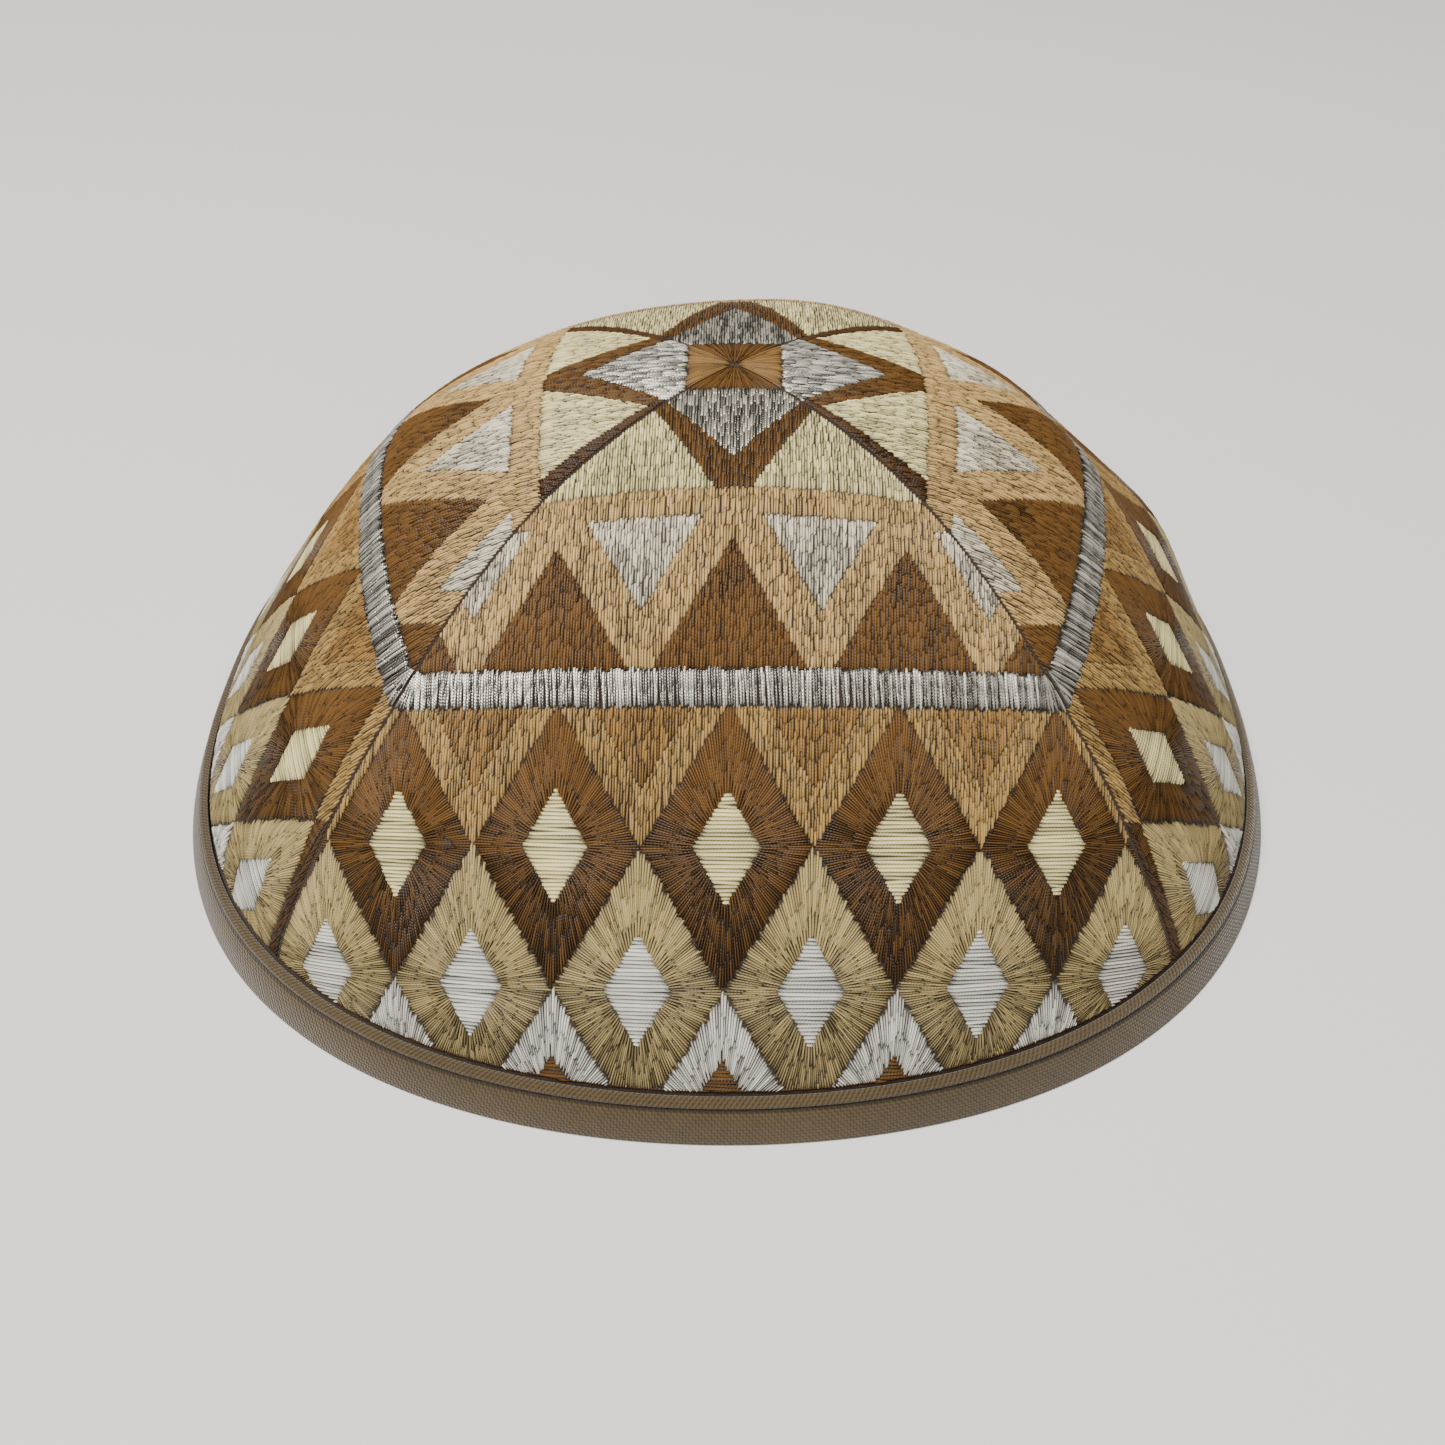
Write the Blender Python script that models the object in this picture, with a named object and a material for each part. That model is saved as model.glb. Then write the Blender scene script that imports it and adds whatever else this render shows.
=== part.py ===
"""Embroidered kippah: four cloth panels sewn into a dome, with a folded tape binding round the rim.

Metres, +Z up. The rim stands on z = 0 and the crown is above the origin. The front panel faces -Y.
"""

import math

import bmesh
import bpy
import numpy as np
from mathutils import Vector

COLLECTION_NAME = "embroidered_kippah"

# Driving dimensions. The rim radius is to the panel's outer face at the table, at a panel's middle.
RIM_RADIUS = 0.0842
CROWN_HEIGHT = 0.0641
PANEL_THICKNESS = 0.0016
SEWING_GAP = 0.0003
SIDEWAYS_STRETCH = 1.044
CROWN_LEAN = 0.022

# The rounded edge that each panel turns in to its seams
SEAM_ROUND = 0.0014
SEAM_DIP = 0.0005

# The tape folded over the rim
TAPE_THICKNESS = 0.0010
BINDING_HEIGHT = 0.0060
BINDING_INSIDE_HEIGHT = 0.0057
ROLL_HEIGHT = 0.0014
ROLL_SWELL = 0.0003
TAPE_ROUND = 0.0004

# How far the tape pinches the cloth in, and the heights where that starts and is complete
RIM_PINCH = 0.0006
PINCH_START = 1.6 * BINDING_HEIGHT
PINCH_END = 0.8 * BINDING_HEIGHT

# How a panel hangs, down its middle from the crown to the table. The columns are the share of the way
# down the cloth, its slope in degrees before it is fitted to the rim radius and the crown height, how
# tightly it arches from seam to seam, how far its seams are pulled in, and how far the fold line down
# the middle of a side panel stands out. The last three are for a rim radius of 1.
PANEL_HANG = (
    (0.00, 0.0, 0.75, 0.000, 0.000),
    (0.15, 10.0, 1.02, 0.045, 0.004),
    (0.30, 28.5, 0.99, 0.090, 0.017),
    (0.45, 44.8, 0.82, 0.125, 0.054),
    (0.60, 46.2, 0.655, 0.160, 0.035),
    (0.80, 50.2, 0.635, 0.170, -0.009),
    (1.00, 65.5, 0.675, 0.142, -0.038),
)
SHARE, SLOPE, ARCH, PULL, CREASE = range(5)

# The fold line is rounded over this share of the panel's half width
CREASE_SOFTNESS = 0.10

# Shallow dents and swellings in the cloth: the panel, how far down it, how far across it from its
# middle, how deep it is (a swelling is below zero) and how far it spreads. The last three are for a
# rim radius of 1.
DENTS = (
    ("right", 0.49, 0.177, 0.019, 0.130),
    ("right", 0.70, 0.166, -0.024, 0.143),
    ("back", 0.24, -0.208, -0.014, 0.178),
)

# Faces across and down each panel, and round the binding for each panel
COLUMNS = 16
ROWS = 26
BINDING_COLUMNS = 24
SHADING_ANGLE = math.radians(40)

# Points nearer than this are one point
MERGE_DISTANCE = 0.000001

# The middle line is worked out in small steps, to a little past the table, and crossings of it by
# halving a range. The straight way from the crown to the rim measures a dent's place along the line.
LINE_STEPS = 460
PAST_TABLE = 1.15
HALVINGS = 46
CROWN_TO_RIM = math.hypot(RIM_RADIUS, CROWN_HEIGHT)

# Each panel's name, its quarter turn about Z and whether the fold line runs down it
PANELS = (
    ("front", 0, False),
    ("right", 1, True),
    ("back", 2, False),
    ("left", 3, True),
)

CLOTH_COLOUR = (0.22, 0.14, 0.075, 1.0)
TAPE_COLOUR = (0.155, 0.115, 0.065, 1.0)


def smooth_column(shares, column):
    """Reads a column of the hang table at the given shares, along a curve that never overshoots it."""
    table = np.array(PANEL_HANG)
    known, values = table[:, SHARE], table[:, column]
    steps = np.diff(values) / np.diff(known)
    tangents = np.zeros(len(known))
    tangents[0], tangents[-1] = steps[0], steps[-1]
    same_way = steps[:-1] * steps[1:] > 0
    before, after = steps[:-1][same_way], steps[1:][same_way]
    tangents[1:-1][same_way] = 2 * before * after / (before + after)
    shares = np.clip(shares, 0.0, 1.0)
    row = np.clip(np.searchsorted(known, shares, side="right") - 1, 0, len(steps) - 1)
    width = known[row + 1] - known[row]
    part = (shares - known[row]) / width
    lower = values[row] * (1 + 2 * part) * (1 - part) ** 2 + tangents[row] * width * part * (1 - part) ** 2
    upper = values[row + 1] * part**2 * (3 - 2 * part) - tangents[row + 1] * width * part**2 * (1 - part)
    return lower + upper


def solve(rising, low, high):
    """Finds where a rising function passes zero, for each entry of its arrays, by halving the range."""
    for _ in range(HALVINGS):
        middle = (low + high) / 2
        above = rising(middle) > 0
        high = np.where(above, middle, high)
        low = np.where(above, low, middle)
    return (low + high) / 2


class MiddleLine:
    """The line down a panel's middle, by the share of the way from the crown to the table."""

    def __init__(self):
        self.along = np.linspace(0.0, PAST_TABLE, LINE_STEPS + 1)
        slope = np.radians(smooth_column(self.along, SLOPE))
        outwards, fallen = self.summed(np.cos(slope)), self.summed(np.sin(slope))
        out_scale = RIM_RADIUS / self.read(outwards, 1.0)
        fall_scale = CROWN_HEIGHT / self.read(fallen, 1.0)
        self.outwards = outwards * out_scale
        self.height = CROWN_HEIGHT - fallen * fall_scale
        self.slope = np.arctan2(np.sin(slope) * fall_scale, np.cos(slope) * out_scale)
        self.arch = smooth_column(self.along, ARCH) / RIM_RADIUS
        self.pull = smooth_column(self.along, PULL) / RIM_RADIUS**3
        self.crease = smooth_column(self.along, CREASE) * RIM_RADIUS

    def summed(self, rate):
        steps = np.diff(self.along) * (rate[1:] + rate[:-1]) / 2
        return np.concatenate([[0.0], np.cumsum(steps)])

    def read(self, values, along):
        return np.interp(along, self.along, values)


class Layer:
    """One surface of a panel, a depth under its outer face, reaching to an offset from the seams."""

    def __init__(self, line, side, folded, depth, seam_offset):
        self.line = line
        self.folded = folded
        self.depth = depth
        self.seam_offset = seam_offset * math.sqrt(2)
        self.dents = [dent[1:] for dent in DENTS if dent[0] == side]
        self.tip = solve(lambda along: line.read(line.outwards, along) - self.seam_offset, 0.0, 1.0)
        none, widest = np.zeros(len(line.along)), np.full(len(line.along), 1.2 * RIM_RADIUS)
        self.reaches = solve(self.past_seam, none, widest)

    def past_seam(self, across):
        """How far points are past the seam plane, for one point at each place along the line."""
        aside, outwards, _ = self.pinch(across, self.line.along, 0.0)
        return aside - outwards + self.seam_offset

    def reach(self, along):
        return self.line.read(self.reaches, along)

    def sweep(self, across, along, sunk):
        """The arched cross section at each place along the middle line, as aside, outwards and height."""
        line = self.line
        slope, arch = line.read(line.slope, along), line.read(line.arch, along)
        radius = 1 / arch - self.depth - sunk
        aside = radius * np.sin(arch * across)
        drop = self.depth + sunk + radius * (1 - np.cos(arch * across))
        drop = drop + line.read(line.pull, along) * across**4
        outwards = line.read(line.outwards, along) - drop * np.sin(slope)
        return aside, outwards, line.read(line.height, along) - drop * np.cos(slope)

    def pinch(self, across, along, sunk):
        """The cross section as the tape holds it, drawn in a little near the rim."""
        height = self.sweep(across, along, sunk)[2]
        pinched = np.clip((PINCH_START - height) / (PINCH_START - PINCH_END), 0.0, 1.0)
        return self.sweep(across, along, sunk + RIM_PINCH * pinched)

    def place(self, share, along):
        """Points at a share of the way from the middle to the seam, with the fold line and the dents."""
        across = share * self.reach(along)
        sunk = np.zeros(np.shape(across))
        if self.folded:
            blunt = np.hypot(share, CREASE_SOFTNESS) - math.hypot(1.0, CREASE_SOFTNESS)
            sunk = sunk + self.line.read(self.line.crease, along) * blunt
        for down, aside, depth, spread in self.dents:
            distance = np.hypot((along - down) * CROWN_TO_RIM, across - aside * RIM_RADIUS)
            hollow = np.exp(-((distance / (spread * RIM_RADIUS)) ** 2))
            sunk = sunk + depth * RIM_RADIUS * hollow * (1 - share**2)
        return np.stack(self.pinch(across, along, sunk), axis=-1)

    def along_at_height(self, share, height):
        """How far down the cloth the given height is reached, at a share of the way to the seam."""
        top = np.full(np.shape(share), 0.5)
        bottom = np.full(np.shape(share), PAST_TABLE)
        return solve(lambda along: height - self.place(share, along)[..., 2], top, bottom)


def set_in_dome(points, turn):
    """Turns points of the front panel to their own quarter and gives them the dome's stretch and lean."""
    angle = turn * math.pi / 2
    aside, outwards, height = np.moveaxis(points, -1, 0)
    x = aside * math.cos(angle) + outwards * math.sin(angle)
    y = aside * math.sin(angle) - outwards * math.cos(angle)
    return np.stack([x * SIDEWAYS_STRETCH + height * CROWN_LEAN, y, height], axis=-1)


def make_material(name, colour, roughness):
    material = bpy.data.materials.new(name)
    material.use_nodes = True
    shader = material.node_tree.nodes["Principled BSDF"]
    shader.inputs["Base Color"].default_value = colour
    shader.inputs["Roughness"].default_value = roughness
    shader.inputs["Metallic"].default_value = 0.0
    material.diffuse_color = colour
    return material


def add_object(name, mesh_data, material, collection):
    """Closes the mesh's doubled points, turns its faces outwards and adds it as one object."""
    bmesh.ops.remove_doubles(mesh_data, verts=mesh_data.verts, dist=MERGE_DISTANCE)
    bmesh.ops.recalc_face_normals(mesh_data, faces=mesh_data.faces)
    mesh = bpy.data.meshes.new(name)
    mesh_data.to_mesh(mesh)
    mesh_data.free()
    mesh.shade_smooth()
    mesh.set_sharp_from_angle(angle=SHADING_ANGLE)
    mesh.materials.append(material)
    collection.objects.link(bpy.data.objects.new(name, mesh))


def panel_points(face, turned_in):
    """The rows of points on a panel's surface, whose outermost columns turn in to the seams."""
    shares = np.concatenate([[-1.0], np.linspace(-1.0, 1.0, COLUMNS - 1), [1.0]])
    at_seam = np.zeros(COLUMNS + 1)
    at_seam[0] = at_seam[-1] = 1.0
    down = np.linspace(0.0, 1.0, ROWS + 1)[:, None]
    lower_edge = TAPE_THICKNESS + SEWING_GAP
    along = face.tip + down * (face.along_at_height(shares, lower_edge) - face.tip)
    turned_along = face.tip + down * (turned_in.along_at_height(shares, lower_edge) - face.tip)
    reach = np.maximum(face.reach(along), MERGE_DISTANCE)
    narrower = 1 - np.minimum(SEAM_ROUND / reach, 0.2) * (1 - at_seam)
    points = face.place(shares * narrower, along)
    turned_points = turned_in.place(shares, turned_along)
    turn = at_seam * np.minimum(1.0, reach / (4 * SEAM_ROUND))
    return points + (turned_points - points) * turn[..., None]


def add_panel(side, turn, folded, line, material, collection):
    """A flat two-layered slab of cloth, sewn to shape: each layer goes to its own surface."""
    slab = bmesh.new()
    bmesh.ops.create_grid(slab, x_segments=COLUMNS, y_segments=ROWS, size=1.0)
    bmesh.ops.extrude_face_region(slab, geom=slab.faces[:], use_keep_orig=True)
    grid_size = (COLUMNS + 1) * (ROWS + 1)
    for depth, dip, first in ((0.0, SEAM_DIP, 0), (PANEL_THICKNESS, 0.0, grid_size)):
        face = Layer(line, side, folded, depth, SEWING_GAP / 2)
        turned_in = Layer(line, side, folded, depth + dip, SEWING_GAP / 2)
        points = set_in_dome(panel_points(face, turned_in), turn)
        for vert in layer_verts(slab, first, grid_size):
            row = round((1 - vert.co.y) / 2 * ROWS)
            column = round((1 + vert.co.x) / 2 * COLUMNS)
            vert.co = Vector(points[row, column])
    add_object(f"crown_panel_{side}", slab, material, collection)


def layer_verts(slab, first, count):
    slab.verts.ensure_lookup_table()
    return [slab.verts[index] for index in range(first, first + count)]


def binding_section():
    """The folded tape's section, round from its outer foot, as depths under the panel's face and heights."""
    outer = -(SEWING_GAP + TAPE_THICKNESS)
    inner = PANEL_THICKNESS + SEWING_GAP + TAPE_THICKNESS
    section = [(outer + TAPE_ROUND, 0.0), (outer, TAPE_ROUND), (outer, BINDING_HEIGHT - ROLL_HEIGHT)]
    roll_middle = (outer - SEWING_GAP) / 2
    roll_width = roll_middle - outer + ROLL_SWELL
    for degrees in (-40, 0, 45, 90):
        angle = math.radians(degrees)
        height = BINDING_HEIGHT - ROLL_HEIGHT / 2 * (1 - math.sin(angle))
        section.append((roll_middle - roll_width * math.cos(angle), height))
    section.append((-SEWING_GAP, BINDING_HEIGHT - TAPE_ROUND))
    section.append((-SEWING_GAP, TAPE_THICKNESS))
    section.append((PANEL_THICKNESS + SEWING_GAP, TAPE_THICKNESS))
    section.append((PANEL_THICKNESS + SEWING_GAP, BINDING_INSIDE_HEIGHT - TAPE_ROUND))
    section.append((inner - TAPE_THICKNESS / 2, BINDING_INSIDE_HEIGHT))
    section.append((inner, BINDING_INSIDE_HEIGHT - TAPE_ROUND))
    section.append((inner, TAPE_ROUND))
    section.append((inner - TAPE_ROUND, 0.0))
    return section


def binding_ring(line, depth, height):
    """The tape's points at one depth and height, once round the rim through all four panels."""
    shares = np.linspace(-1.0, 1.0, BINDING_COLUMNS + 1)[:-1]
    quarters = []
    for side, turn, folded in PANELS:
        layer = Layer(line, side, folded, depth, 0.0)
        points = layer.place(shares, layer.along_at_height(shares, height))
        quarters.append(set_in_dome(points, turn))
    return np.concatenate(quarters)


def add_binding(line, material, collection):
    """A tape folded over the rim: a strip closed round the rim and round its own section."""
    section = binding_section()
    rings = [binding_ring(line, depth, height) for depth, height in section]
    around = len(rings[0])
    strip = bmesh.new()
    bmesh.ops.create_grid(strip, x_segments=around, y_segments=len(section), size=1.0)
    for vert in strip.verts:
        column = round((1 + vert.co.x) / 2 * around) % around
        row = round((1 + vert.co.y) / 2 * len(section)) % len(section)
        vert.co = Vector(rings[row][column])
    add_object("rim_binding", strip, material, collection)


def main():
    for scene_object in list(bpy.data.objects):
        bpy.data.objects.remove(scene_object, do_unlink=True)
    collection = bpy.data.collections.new(COLLECTION_NAME)
    bpy.context.scene.collection.children.link(collection)
    line = MiddleLine()
    for side, turn, folded in PANELS:
        cloth = make_material(f"embroidered_cloth_{side}", CLOTH_COLOUR, 0.55)
        add_panel(side, turn, folded, line, cloth, collection)
    tape = make_material("binding_tape", TAPE_COLOUR, 0.85)
    add_binding(line, tape, collection)


main()
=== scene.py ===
"""Embroidered kippah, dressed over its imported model.

Each of the four panels gets a backing cloth and its embroidery, laid stitch by stitch on the panel's
own surface. The rim gets a folded woven tape with a rolled upper edge. Metres, +Z up.
"""

import math

import bpy
import numpy as np
from bpy.props import FloatProperty, FloatVectorProperty, PointerProperty
from mathutils import Matrix, Vector


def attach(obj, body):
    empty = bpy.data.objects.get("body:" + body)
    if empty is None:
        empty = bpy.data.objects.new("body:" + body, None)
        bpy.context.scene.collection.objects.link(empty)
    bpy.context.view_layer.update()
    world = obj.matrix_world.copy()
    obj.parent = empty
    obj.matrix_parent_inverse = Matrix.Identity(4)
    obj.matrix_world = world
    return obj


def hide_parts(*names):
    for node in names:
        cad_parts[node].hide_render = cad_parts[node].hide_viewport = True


bl_info = {
    "name": "Embroidered kippah",
    "version": (1, 0, 0),
    "blender": (4, 5, 0),
    "location": "3D View > Sidebar > Kippah",
    "description": "Dresses the four crown panels with embroidery and the rim with a woven tape",
    "category": "Add Mesh",
}

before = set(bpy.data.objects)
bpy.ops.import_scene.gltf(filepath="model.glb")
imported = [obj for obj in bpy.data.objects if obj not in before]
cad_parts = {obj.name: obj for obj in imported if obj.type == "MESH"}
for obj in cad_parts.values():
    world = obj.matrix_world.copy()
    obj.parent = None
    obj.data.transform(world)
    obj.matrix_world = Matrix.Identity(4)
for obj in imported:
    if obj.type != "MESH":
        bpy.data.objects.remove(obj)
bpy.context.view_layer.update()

# The cap's own sizes, as in the part's source
RIM_RADIUS = 0.0842
CROWN_HEIGHT = 0.0641
PANEL_THICKNESS = 0.0016
SEWING_GAP = 0.0003
SIDEWAYS_STRETCH = 1.044
CROWN_LEAN = 0.022
TAPE_THICKNESS = 0.001
BINDING_HEIGHT = 0.0060
RIM_PINCH = 0.0006
PINCH_START = 1.6 * BINDING_HEIGHT
PINCH_END = 0.8 * BINDING_HEIGHT

# How a panel hangs: the share of the way down it, slope in degrees, arch, pull of the seams and fold
# line. The last three are for a rim radius of 1.
PANEL_HANG = (
    (0.00, 0.0, 0.75, 0.000, 0.000),
    (0.15, 10.0, 1.02, 0.045, 0.004),
    (0.30, 28.5, 0.99, 0.090, 0.017),
    (0.45, 44.8, 0.82, 0.125, 0.054),
    (0.60, 46.2, 0.655, 0.160, 0.035),
    (0.80, 50.2, 0.635, 0.170, -0.009),
    (1.00, 65.5, 0.675, 0.142, -0.038),
)
SHARE, SLOPE, ARCH, PULL, CREASE = range(5)
CREASE_SOFTNESS = 0.10

# Dents and swellings: the panel, how far down, how far across, depth and spread, for a rim radius of 1
DENTS = (
    ("right", 0.49, 0.177, 0.019, 0.130),
    ("right", 0.70, 0.166, -0.024, 0.143),
    ("back", 0.24, -0.208, -0.014, 0.178),
)
LINE_STEPS = 460
PAST_TABLE = 1.15
HALVINGS = 40
CROWN_TO_RIM = math.hypot(RIM_RADIUS, CROWN_HEIGHT)

# Each panel's name, its quarter turn about Z and whether it is one of the two side panels
PANELS = (
    ("front", 0, False),
    ("right", 1, True),
    ("back", 2, False),
    ("left", 3, True),
)

# Where the pattern's borders lie, measured down the middle of a panel from the crown
CLOTH_LENGTH = 0.1114
TIP_EDGE = 0.0065
STAR_SHOULDER = 0.0090
STAR_POINT = 0.0208
RING_TOP = 0.0260
RING_FOOT = 0.0302
PEAK_TOP = 0.0338
DROP_POINT = 0.0433
BAND_TOP = 0.0507
BAND_FOOT = 0.0555
BROWN_ROW = 0.0732
DIAMOND_RISE = 0.01815
DIAMOND_PERIOD = 0.02097
PEAK_PERIOD = 0.0219

# The inner diamonds' share of the whole ones, in the lowest row too, and that of the olive triangles
INNER_SHARE = 0.40
FOOT_INNER_SHARE = 0.52
HANGING_SHARE = 0.60

# The dark strip beside a side panel's seam begins this far above the brown row and is full below it
STRIP_ABOVE_ROW = 0.006
STRIP_BELOW_ROW = 0.010

# Half widths of the star's shoulder, of the foot of the brown band that edges the star, of a hanging
# white triangle at its top and of a standing brown one at its foot
STAR_HALF_WIDTH = 0.00895
STAR_BAND_FOOT = 0.0023
STAR_BAND_DROP = 0.0015
DROP_HALF_WIDTH = 0.0073
PEAK_HALF_WIDTH = 0.00935

# The side panels' pattern is a little narrower, with a dark strip beside each seam
SIDE_NARROWING = 0.965
STRIP_AT_STAR = 0.0015
STRIP_AT_RING = 0.0038
STRIP_AT_RIM = 0.0016

# The embroidery ends this far under the binding's top, and the dark line of thread lies above its foot
FOOT_UNDER_BINDING = 0.00025
EDGE_LINE_RISE = 0.0002
EDGE_LINE_WIDTH = 0.0004

THREADS = (
    "white", "ivory", "cream", "beige", "gold", "olive",
    "tan", "light_brown", "brown", "dark_brown", "silver", "grey",
)
WHITE, IVORY, CREAM, BEIGE, GOLD, OLIVE = range(6)
TAN, LIGHT_BROWN, BROWN, DARK_BROWN, SILVER, SHADED_SILVER = range(6, 12)
NO_THREAD = -1
METAL_THREADS = ("silver", "grey")

# The rows of diamonds: how far down their middles are, their offset in diamonds, the threads of frame and
# inner diamond, how much painted shade darkens the frames downwards (lighter at their tops and darker at
# their feet, for how the light falls on the thread) and how much lighter they are than their thread
DIAMOND_ROWS = (
    (BROWN_ROW, 0.0, BROWN, CREAM, 0.45, -0.12),
    (BROWN_ROW + DIAMOND_RISE, 0.5, BEIGE, WHITE, 0.40, -0.12),
    (BROWN_ROW + 2 * DIAMOND_RISE, 0.0, WHITE, BROWN, 0.10, -0.35),
)
DIAMONDS_ASIDE = 4

# A stitch is an arched strip: its places along and its height there, and the same across
STITCH_ALONG = np.array([0.0, 0.13, 0.5, 0.87, 1.0])
STITCH_ALONG_HEIGHT = np.array([0.0, 0.8, 1.0, 0.8, 0.0])
STITCH_ACROSS = np.array([-1.0, 0.0, 1.0])
STITCH_ACROSS_HEIGHT = np.array([0.0, 1.0, 0.0])

# How far down the cloth the pattern is read at a time, how jagged the ends of the stitches are, how much
# stitches in a row overlap, and the shortest one that is laid in a diamond
READ_STEP = 0.0001
JAGGED = 0.00028
OVERLAP = 0.0001
SHORTEST_STITCH = 0.0005

# The silver band's stitches: how uneven their ends are, how far their joints stray and how high they lie
BAND_JAGGED = 0.0004
BAND_JOINT_STRAY = 0.0010
BAND_JOINT_OVERLAP = 0.0002
BAND_LIFT = 0.00018

# A diamond's half width as a share of the diamonds' period
DIAMOND_HALF = 0.497

# Points nearer than this are merged
MERGE_DISTANCE = 0.000002

# Columns of the tape in each quarter of the rim, stitches in each quarter of its groove, and their depth
# under the panel's face, height, half width and lift
TAPE_COLUMNS = 144
GROOVE_STITCHES = 44
GROOVE_DEPTH = -0.00108
GROOVE_HEIGHT = 0.00456
GROOVE_HALF_WIDTH = 0.00016
GROOVE_LIFT = 0.00016
GROOVE_LENGTH = 0.0024
GROOVE_FILL = 0.78

# The floor's side, the sky's strength, and where the two soft lights stand and how large they are
FLOOR_SIDE = 16.0
SKY_STRENGTH = 0.18
KEY_PLACE, KEY_SIDE = (-0.32, -0.30, 1.33), 0.75
FILL_PLACE, FILL_SIDE = (0.20, -1.30, 0.90), 1.0

# The camera, in units of 87.5 mm and degrees: how far it tilts, stands off, aims above the floor and is
# aside, turned and rolled, and its focal length and the picture's width in the photograph's pixels
CAMERA_UNIT = 0.0875
CAMERA_TILT = 41.92
CAMERA_DISTANCE = 2.972
CAMERA_AIM_HEIGHT = -0.0413
CAMERA_SIDEWAYS = 0.0076
CAMERA_TURN = 0.88
CAMERA_ROLL = 0.44
FOCAL_PIXELS = 1526.2
PICTURE_PIXELS = 1445
SENSOR_WIDTH = 36.0

# The tape's section, as depths under the panel's face and heights
TAPE_SECTION = (
    (-0.00085, 0.00000), (-0.00110, 0.00005), (-0.00126, 0.00020), (-0.00134, 0.00055),
    (-0.00140, 0.00120), (-0.00144, 0.00200), (-0.00144, 0.00280), (-0.00138, 0.00350),
    (-0.00130, 0.00410), (-0.00116, 0.00444), (-0.00104, 0.00458), (-0.00112, 0.00470),
    (-0.00130, 0.00484), (-0.00143, 0.00504), (-0.00147, 0.00526), (-0.00142, 0.00548),
    (-0.00126, 0.00567), (-0.00104, 0.00578), (-0.00080, 0.00581), (-0.00058, 0.00577),
    (-0.00040, 0.00564), (-0.00031, 0.00540), (-0.00030, 0.00340), (-0.00030, 0.00100),
    (0.00080, 0.00100), (0.00190, 0.00100), (0.00190, 0.00310), (0.00190, 0.00520),
    (0.00205, 0.00558), (0.00235, 0.00570), (0.00266, 0.00560), (0.00286, 0.00528),
    (0.00290, 0.00420), (0.00290, 0.00230), (0.00288, 0.00060), (0.00278, 0.00020),
    (0.00255, 0.00000),
)


def length_setting(name, description, default):
    return FloatProperty(name=name, description=description, default=default, unit="LENGTH", precision=5)


def colour_setting(name, description, default):
    return FloatVectorProperty(name=name, description=description, default=default, subtype="COLOR")


def power_setting(name, description, default):
    return FloatProperty(name=name, description=description, default=default, unit="POWER")


class ClothSettings(bpy.types.PropertyGroup):
    ground_sunk: length_setting(
        "Ground depth", "How far the backing cloth lies under the embroidery's feet", 0.00008
    )
    # The ground cloth is real, but its colour is made very dark, painted shade for the gaps between the
    # stitches
    shaded_ground_colour: colour_setting(
        "Ground cloth", "Colour of the cloth that shows between the stitches", (0.055, 0.032, 0.017)
    )
    lining_colour: colour_setting(
        "Lining", "Colour of the woven cloth on the inside of the cap", (0.17, 0.12, 0.055)
    )
    lining_yarn: length_setting(
        "Lining yarn", "Distance from one yarn of the lining to the next", 0.00042
    )


class ThreadSettings(bpy.types.PropertyGroup):
    pitch: length_setting("Thread pitch", "Distance from one stitch to the next beside it", 0.00036)
    inner_pitch: length_setting(
        "Inner diamond pitch", "Distance from one stitch to the next in the inner diamonds", 0.00050
    )
    height: length_setting(
        "Thread height", "How high a stitch stands on the cloth at its middle", 0.00024
    )
    stitch_length: length_setting(
        "Stitch length", "Usual length of a stitch where a large area is filled", 0.0021
    )
    white: colour_setting("White", "White thread", (0.6, 0.57, 0.49))
    ivory: colour_setting("Ivory", "Ivory thread", (0.7, 0.61, 0.44))
    cream: colour_setting("Cream", "Cream thread", (0.72, 0.6, 0.285))
    beige: colour_setting("Beige", "Beige thread", (0.335, 0.25, 0.105))
    gold: colour_setting("Gold", "Gold thread", (0.36, 0.218, 0.068))
    olive: colour_setting("Olive", "Olive thread", (0.27, 0.145, 0.04))
    tan: colour_setting("Tan", "Tan thread", (0.5, 0.32, 0.122))
    light_brown: colour_setting("Light brown", "Light brown thread", (0.21, 0.115, 0.036))
    brown: colour_setting("Brown", "Brown thread", (0.115, 0.053, 0.0115))
    dark_brown: colour_setting("Dark brown", "Dark brown thread", (0.066, 0.029, 0.007))
    silver: colour_setting("Silver", "Bright silver thread", (0.58, 0.54, 0.45))
    # The same silver thread made darker: painted shade for the star on the front and back panels
    grey: colour_setting("Grey", "Dull silver thread", (0.42, 0.39, 0.31))


class TapeSettings(bpy.types.PropertyGroup):
    stitch_colour: colour_setting(
        "Running stitch", "Colour of the stitches that hold the tape", (0.035, 0.020, 0.008)
    )
    colour: colour_setting("Tape", "Colour of the woven tape round the rim", (0.076, 0.049, 0.017))
    yarn: length_setting("Tape yarn", "Distance from one yarn of the tape to the next", 0.00038)
    twist: length_setting(
        "Roll twist", "Distance from one turn of the rolled upper edge to the next", 0.00066
    )


class StageSettings(bpy.types.PropertyGroup):
    floor_colour: colour_setting("Floor", "Colour of the plain floor", (0.85, 0.82, 0.77))
    key_power: power_setting(
        "Key light", "Power of the soft light above the cap, a little to its left", 33.0
    )
    fill_power: power_setting("Fill light", "Power of the soft light in front of the cap", 4.0)


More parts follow.
